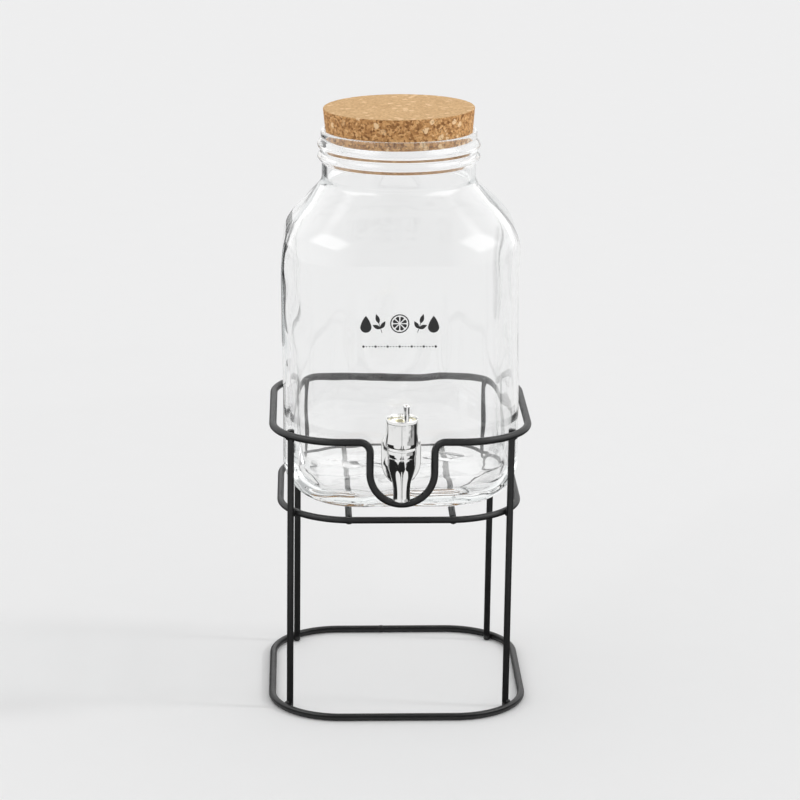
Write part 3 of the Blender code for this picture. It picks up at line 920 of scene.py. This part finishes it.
def make_tap_body(material):
    """Barrel and spout, a fairing back to the oval plate, and the hollow shank through the glass."""
    plate_back = -JAR_HALF - PLATE_GAP
    levels = spout_levels()
    outside = skin([spout_level(*level) for level in levels + barrel_levels()])
    body = to_object("tap_barrel_and_spout", outside, material, sharp=50)
    fairing = rounded_plate(fairing_outline, BARREL_Y, plate_back - 0.001, 0.0002)
    plate = rounded_plate(escutcheon, plate_back - PLATE_THICK, plate_back, 0.0008)
    shank = lathe(shank_profile(plate_back - 0.001), 64)
    for bm, height in ((fairing, TAP_Z - 0.0003), (plate, TAP_Z), (shank, TAP_Z)):
        carve(body, along_y(bm, height), "UNION")
    carve(body, lathe(chamber_profile(), 48, (0.0, BARREL_Y)), "DIFFERENCE")
    bore = lathe([(BORE_R, BARREL_Y), (BORE_R, SHANK_END + 0.002)], 40)
    carve(body, along_y(bore, TAP_Z), "DIFFERENCE")
    shade(body, 35)
    attach(body, "jar", ("tap_body",))

    seam = []
    for _, reach, height in levels[3:-3]:
        ridge = ((-0.00025, 0.0004), (0.0, -0.00014), (0.00025, 0.0004))
        seam.append(at_height([(x, BARREL_Y - reach + depth) for x, depth in ridge], height))
    piece("spout_mould_seam", skin(seam), material, "jar", sharp=30)


def lever_outline(inset):
    """(distance from the axis, height) round the lever's side, drawn in by inset."""
    outer, inner = KNOB_R - 0.0003, LEVER_INNER
    low = KNOB_TOP - DISH_DEPTH - 0.001
    centre_z = LEVER_TOP - LEVER_CORNER
    outer_corner = arc((outer - LEVER_CORNER, centre_z), LEVER_CORNER - inset, 0.0, QUARTER, 6)
    inner_corner = arc((inner + LEVER_CORNER, centre_z), LEVER_CORNER - inset, QUARTER, pi, 6)
    # A point just below each corner keeps the straight sides flat where the shading is smoothed.
    below = centre_z - 0.0002
    start = [(outer - inset, low), (outer - inset, below)]
    return start + outer_corner + inner_corner + [(inner + inset, below), (inner + inset, low)]


def turned_lever():
    """The lever, turned about the barrel's axis to its place at rest."""
    lever = rounded_plate(lever_outline, -LEVER_WIDTH / 2, LEVER_WIDTH / 2, 0.0010)
    turn = LEVER_ANGLE - QUARTER
    for vert in lever.verts:
        along, height, across = vert.co
        x = along * cos(turn) - across * sin(turn)
        y = along * sin(turn) + across * cos(turn)
        vert.co = (x, BARREL_Y + y, height)
    return lever


def make_knob(material, dish_material):
    """The turning cap: a dished cup with a short upright lever on its rim."""
    bottom = knob_low.z
    dish_floor = KNOB_TOP - DISH_DEPTH
    side = KNOB_R - 0.0001
    edge = 0.0005
    bowl = 0.0018
    profile = [(KNOB_R - 0.0012, bottom), (KNOB_R - 0.0004, bottom + 0.0003), (side, bottom + 0.0010)]
    profile += line(profile[-1], (side, KNOB_TOP - edge), 8)
    profile += arc((side - edge, KNOB_TOP - edge), edge, 0.0, pi, 6)
    profile += arc((DISH_R - bowl, dish_floor + bowl), bowl, 0.0, -QUARTER, 6)
    profile += [(0.005, dish_floor + 0.0001), (0.001, dish_floor + 0.0002)]
    knob = to_object("tap_turning_cap", lathe(profile, 96, (0.0, BARREL_Y)), material, sharp=50)
    carve(knob, turned_lever(), "UNION")

    half = SOCKET_HALF
    square = [(half * x, BARREL_Y + half * y) for x, y in ((1, 1), (-1, 1), (-1, -1), (1, -1))]
    socket = skin([at_height(square, height) for height in (bottom - 0.001, bottom + 0.0082)])
    rotate(socket, LEVER_ANGLE, "Z", (0.0, BARREL_Y, 0.0))
    carve(knob, socket, "DIFFERENCE")
    knob.data.materials.append(dish_material)
    for face in knob.data.polygons:
        x, y, z = face.center - STAND - Vector((0.0, BARREL_Y, 0.0))
        in_dish = hypot(x, y) < DISH_R and dish_floor - 0.0001 < z < KNOB_TOP - 0.0004
        if in_dish and (hypot(x, y) < LEVER_INNER or abs(face.normal.z) > 0.5):
            face.material_index = 1
    shade(knob, 35)
    attach(knob, "valve", ("tap_knob",))


def make_washer(name, node, low, high, material):
    start, end = low.y - STAND.y, high.y - STAND.y
    radius = (high.x - low.x) / 2
    edge = min(0.0006, (end - start) / 2.2)
    profile = [(SEAL_HOLE_R, start), (radius - edge, start)]
    profile += arc((radius - edge, start + edge), edge, -QUARTER, 0.0, 5)
    profile += arc((radius - edge, end - edge), edge, 0.0, QUARTER, 5)
    profile += [(SEAL_HOLE_R, end)]
    bm = along_y(lathe(profile, 96, closed=True), TAP_Z)
    piece(name, bm, material, "jar", (node,))


def make_nut(material):
    """The hexagon nut inside the jar, its corners and edges rounded."""
    start, end = nut_low.y - STAND.y, nut_high.y - STAND.y
    flats = (nut_high.x - nut_low.x) / 2
    corner = 0.0014

    def hexagon(inset):
        points = []
        reach = (flats - inset - corner) * 2 / sqrt(3)
        for k in range(6):
            angle = tau * k / 6
            middle = (reach * sin(angle), -reach * cos(angle))
            points += arc(middle, corner, angle - QUARTER - tau / 12, angle - QUARTER + tau / 12, 4)
        return points

    nut = to_object("nut_on_shank", along_y(rounded_plate(hexagon, start, end, 0.0007), TAP_Z), material)
    hole = lathe([(SEAL_HOLE_R, start - 0.001), (SEAL_HOLE_R, end + 0.001)], 64)
    carve(nut, along_y(hole, TAP_Z), "DIFFERENCE")
    attach(nut, "jar", ("lock_nut",))


def finish_inner_parts(plastic, rubber, steel):
    """The valve's inner pieces keep their CAD shapes."""
    for name, material in (
        ("valve_plug", plastic), ("plug_oring_lower", rubber), ("plug_oring_upper", rubber),
        ("plug_retaining_ring", steel),
    ):
        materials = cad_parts[name].data.materials
        materials.clear()
        materials.append(material)


# ---- print on the jar


def flat_shape(outline):
    """A thin raised shape on the jar's flat front, from (x, z) points."""
    return skin([[Vector((x, PRINT_Y - depth, z)) for x, z in outline] for depth in (0.0, PRINT_THICK)])


def leaf(length, width, steps=14):
    """(x, z) points of a pointed leaf along +X from the origin."""
    shares = [i / steps for i in range(steps + 1)]
    upper = [(length * i / steps, width * sin(pi * share ** 0.85)) for i, share in enumerate(shares)]
    return upper + [(x, -z) for x, z in upper[-2:0:-1]]


def drop(height, steps=28):
    """(x, z) points of a falling drop, its point up, standing on the origin."""
    radius = height * 0.33
    points = []
    for i in range(steps):
        angle = tau * i / steps
        x = radius * sin(angle)
        z = radius - radius * cos(angle)
        if z > radius:
            share = (z - radius) / radius
            x *= (1 - share) ** 0.35
            z = radius + share * (height - radius)
        points.append((x, z))
    return points


def placed(outline, at, angle=0.0):
    turn = Matrix.Rotation(angle, 2)
    return [tuple(Vector(at) + turn @ Vector(point)) for point in outline]


def flat_ring(outer, inner, at):
    """A thin raised ring on the jar's flat front."""
    steps = 48
    loops = []
    for radius, depth in ((outer, 0.0), (outer, PRINT_THICK), (inner, PRINT_THICK), (inner, 0.0)):
        loops.append([Vector((x, PRINT_Y - depth, z)) for x, z in arc(at, radius, 0.0, tau, steps)[:-1]])
    return skin(loops, closed=True)


def slice_wedge(radius, angle, half_angle):
    """(x, z) points of one segment of a fruit slice, its corners rounded by a bulging outer edge."""
    start = radius * 0.16
    points = [(start * cos(angle), start * sin(angle))]
    for i in range(7):
        turn = angle + half_angle * (i / 3 - 1)
        reach = radius * (1.0 - 0.10 * abs(i / 3 - 1) ** 3)
        points.append((reach * cos(turn), reach * sin(turn)))
    return points


def sprig(at, side):
    """A short stem with three leaves, leaning to one side."""
    lean = QUARTER - side * 0.30
    stem = [(-0.0002, 0.0), (0.0002, 0.0), (0.0002, 0.0070), (-0.0002, 0.0070)]
    shapes = [placed(stem, at, lean - QUARTER)]
    for along, turn, length in ((0.0068, 0.0, 0.0070), (0.0030, 0.85, 0.0062), (0.0030, -0.85, 0.0062)):
        root = Vector(at) + Matrix.Rotation(lean, 2) @ Vector((along, 0.0))
        shapes.append(placed(leaf(length, 0.0014), root, lean + turn))
    return shapes


def make_print(material):
    """A plain generic decoration: a fruit slice between sprigs and drops, over a dotted rule."""
    middle = (0.0, PRINT_Z + 0.0064)
    shapes = [placed(drop(0.0118), (side * DROP_X, PRINT_Z)) for side in (-1, 1)]
    for side in (-1, 1):
        shapes += sprig((side * SPRIG_X, PRINT_Z), side)
    for k in range(8):
        shapes.append(placed(slice_wedge(0.0050, tau * (k + 0.5) / 8, 0.30), middle))
    for i in range(DOTS):
        at = (RULE_HALF * (2 * i / (DOTS - 1) - 1), PRINT_Z - RULE_DROP)
        radius = 0.00085 if i % 4 == 0 else 0.00046
        shapes.append(arc(at, radius, 0.0, tau, 12)[:-1])
    bm = joined([flat_shape(outline) for outline in shapes] + [flat_ring(0.0066, 0.0058, middle)])
    move(bm, (PRINT_SHIFT, 0.0, 0.0))
    piece("front_print", bm, material, "jar", sharp=30)


# ---- studio

SIDE_LIGHT = 1.16
FRONT_LIGHT = 0.40
SUN_STRENGTH = 0.52
SUN_HEIGHT = radians(34)
DARK = 0.02  # grey of the dark cards
FLAG_DISTANCE = 1.0

CAMERA_AT = (-0.0670, -1.9820, 0.7672)  # from the middle of the stand's foot
CAMERA_YAW = radians(1.994)
CAMERA_PITCH = radians(15.68)
CAMERA_ROLL = radians(0.401)
CAMERA_LENS = 128.8


def make_floor():
    bm = bmesh.new()
    bmesh.ops.create_grid(bm, x_segments=8, y_segments=8, size=9.0)
    move(bm, (0.0, 4.0, 0.0))
    tree = Tree("studio_floor")
    tree.set(
        Base_Color=tree.patches(30.0, (0.878, 0.878, 0.880), (0.882, 0.882, 0.884)),
        Roughness=0.9,
        Specular_IOR_Level=0.1,
    )
    to_object("studio_floor", bm, tree.material)


def unseen(obj):
    """Keeps a card from the camera, and from darkening or lighting anything matt."""
    obj.visible_camera = False
    obj.visible_diffuse = False
    obj.visible_shadow = False


def reflected_only(obj):
    """Keeps a card in sight of polished surfaces only."""
    obj.visible_transmission = False
    obj.visible_volume_scatter = False
    unseen(obj)


def softbox(name, at, aim, size, strength):
    """A glowing panel that fades towards its edges, as diffusing cloth over a lamp does."""
    bm = bmesh.new()
    bmesh.ops.create_grid(bm, x_segments=1, y_segments=1, size=0.5)
    tree = Tree(name + "_cloth")
    share = 1.0
    for axis in ("X", "Y"):
        off_middle = tree.maths("ABSOLUTE", tree.add("SeparateXYZ", {0: tree.place}, axis))
        share = tree.maths("MULTIPLY", share, tree.ramp(off_middle, (0.30, 1.0), (0.50, 0.0)))
    glow = tree.add("Emission", {"Strength": tree.maths("MULTIPLY", share, strength)})
    clear = tree.add("BsdfTransparent")
    tree.surface(tree.add("AddShader", {0: glow, 1: clear}))
    panel = new_mesh(name, bm, tree.material)
    panel.location = at
    panel.rotation_euler = (Vector(aim) - Vector(at)).to_track_quat("Z", "Y").to_euler()
    panel.scale = (*size, 1.0)
    reflected_only(panel)


def card(name, corners, grey, depth="Transmission Depth", test="GREATER_THAN"):
    """A plain flat card. Light that passes the test misses it, by default light from behind glass."""
    bm = bmesh.new()
    bm.faces.new([bm.verts.new(corner) for corner in corners])
    tree = Tree(name + "_paper")
    tree.set(Base_Color=(grey, grey, grey), Roughness=0.9, Specular_IOR_Level=0.0)
    path = tree.add("LightPath", output=depth)
    tree.give_way(tree.maths(test, path, 0.5), tree.add("BsdfTransparent"))
    return to_object(name, bm, tree.material)


def place_round(degrees, distance, middle_y, height):
    """A place this far from (0, middle_y), turned by degrees from straight ahead towards the right."""
    angle = radians(degrees)
    return distance * sin(angle), middle_y - distance * cos(angle), height


def flag(name, start, end, low, high, grey):
    """An upright card behind the jar that darkens the edge of the glass, where light bounces inside it."""
    places = ((start, low), (end, low), (end, high), (start, high))
    corners = [place_round(degrees, FLAG_DISTANCE, 0.0, height) for degrees, height in places]
    unseen(card(name, corners, grey, "Glossy Depth", "LESS_THAN"))


def floor_card(name, corners, grey, height):
    """A flat card on the floor, from (degrees round from straight ahead, distance from the tap) corners."""
    places = [place_round(degrees, distance, BARREL_Y, height) for degrees, distance in corners]
    reflected_only(card(name, places, grey))


def sector(start, end, near, far):
    """Corners of a ring sector, for floor_card."""
    steps = max(2, int((end - start) / 10))
    turns = [start + (end - start) * i / steps for i in range(steps + 1)]
    return [(degrees, far) for degrees in turns] + [(degrees, near) for degrees in reversed(turns)]


def make_world():
    """Even light, brightest at both sides and behind, and dimmer straight ahead and overhead."""
    world = bpy.data.worlds.new("studio")
    bpy.context.scene.world = world
    world.use_nodes = True
    sky = Nodes(world.node_tree)
    place = sky.add("TexCoord", output="Generated")
    across, ahead = (sky.add("SeparateXYZ", {0: place}, axis) for axis in ("X", "Y"))
    side = sky.maths("MULTIPLY", sky.maths("ABSOLUTE", across), 1.15)
    behind = sky.maths("MULTIPLY", ahead, 1.6)
    share = sky.maths("MINIMUM", sky.maths("MAXIMUM", side, behind), 1.0)
    level = sky.maths("ADD", sky.maths("MULTIPLY", share, SIDE_LIGHT - FRONT_LIGHT), FRONT_LIGHT)
    background = sky.nodes["Background"].inputs
    sky.put(background["Strength"], sky.maths("MAXIMUM", level, 0.0))
    background["Color"].default_value = (1.0, 1.0, 1.0, 1.0)


def make_sun():
    """A weak low lamp from the right, for the faint shadows to the left."""
    data = bpy.data.lights.new("low_lamp", "SUN")
    data.energy = SUN_STRENGTH
    data.angle = radians(7)
    lamp = new_object("low_lamp", data)
    towards = Vector((-cos(SUN_HEIGHT), 0.10, -sin(SUN_HEIGHT)))
    lamp.rotation_euler = towards.to_track_quat("-Z", "Y").to_euler()
    lamp.visible_glossy = False
    lamp.visible_transmission = False


def make_camera():
    """A long lens, a little left of the middle and looking slightly down."""
    yaw, pitch, roll = CAMERA_YAW, CAMERA_PITCH, CAMERA_ROLL
    forward = Vector((sin(yaw) * cos(pitch), cos(yaw) * cos(pitch), -sin(pitch)))
    level_right = Vector((cos(yaw), -sin(yaw), 0.0))
    level_up = level_right.cross(forward)
    right = cos(roll) * level_right + sin(roll) * level_up
    up = cos(roll) * level_up - sin(roll) * level_right
    data = bpy.data.cameras.new("camera")
    data.lens = CAMERA_LENS
    data.sensor_width = 36.0
    data.clip_end = 100.0
    camera = new_object("camera", data)
    columns = Matrix((right, up, -forward)).transposed()
    camera.matrix_world = Matrix.Translation(STAND + Vector(CAMERA_AT)) @ columns.to_4x4()
    bpy.context.scene.camera = camera


def make_reflections():
    """What the plated tap reflects: two soft panels and cards round it. The flags are for the glass."""
    softbox("softbox_right", (1.39, -0.25, 1.71), (0.0, 0.0, 0.30), (1.8, 1.3), 3.0)
    softbox("softbox_left", (-1.23, -0.33, 1.84), (0.0, 0.0, 0.30), (2.2, 0.9), 3.0)
    near = [(120, 0.32), (62, 0.32), (50, 0.25), (38, 0.19), (30, 0.14), (22, 0.18), (13, 0.25)]
    near += [(10, 0.32), (9, 0.64), (5, 0.64), (3, 0.20), (-3, 0.20), (-5, 0.64), (-9, 0.64), (-10, 0.32)]
    near += [(-15, 0.25), (-26, 0.20), (-34, 0.175), (-42, 0.20), (-52, 0.25), (-62, 0.32)]
    near += [(-120, 0.32), (-180, 0.26)]
    grey = [(34, 0.655), (34, 0.705), (56, 0.735), (78, 0.768), (90, 0.768), (90, 0.655)]
    streak = [(34, 0.697), (58, 0.724), (78, 0.744), (90, 0.752), (90, 0.785), (66, 0.757), (48, 0.727)]
    for name, corners, tone, height in (
        ("dark_floor_near", near, DARK, 0.004),
        ("dark_floor_right", sector(62, 150, 0.26, 0.63), DARK, 0.005),
        ("dark_floor_left", sector(-150, -62, 0.26, 0.63), DARK, 0.005),
        ("dark_floor_edge", sector(84, 147, 0.61, 0.84), DARK, 0.005),
        ("dark_floor_back", sector(-178, -145, 0.26, 0.90), DARK, 0.006),
        ("grey_floor_middle", sector(-7, 1, 0.66, 0.76), 0.60, 0.006),
        ("grey_floor_right", grey, 0.45, 0.006),
        ("dark_floor_diagonal", streak, 0.04, 0.008),
        ("dark_floor_lever_left", sector(-140, 26, 0.785, 0.88), DARK, 0.006),
        ("dark_floor_lever_right", sector(40, 140, 0.785, 0.88), DARK, 0.006),
    ):
        floor_card(name, corners, tone, height)
    flag("flag_left", -168, -140, 0.0, 0.28, 0.04)
    flag("flag_right", 152, 161, 0.20, 0.5, 0.50)


def make_studio():
    make_floor()
    make_world()
    make_sun()
    make_reflections()
    make_camera()
    scene = bpy.context.scene
    scene.view_settings.view_transform = "Standard"
    scene.cycles.max_bounces = 32
    scene.cycles.transmission_bounces = 32
    scene.cycles.glossy_bounces = 12
    scene.cycles.transparent_max_bounces = 32


def main():
    coat = powder_coat()
    bright = chrome("chrome_plate", (0.95, 0.95, 0.94))
    warm = chrome("chrome_plate_warm", (0.78, 0.74, 0.52), 0.25)
    plastic = moulded_plastic()
    rubber = silicone()
    make_wires(coat)
    make_welds(coat)
    make_jar(clear_glass())
    make_stopper(cork())
    make_tap_body(bright)
    make_knob(bright, warm)
    make_washer("washer_outside", "outer_washer", outer_low, outer_high, rubber)
    make_washer("washer_inside", "inner_washer", inner_low, inner_high, rubber)
    make_nut(plastic)
    finish_inner_parts(plastic, rubber, spring_steel())
    make_print(print_ink())
    make_studio()


main()
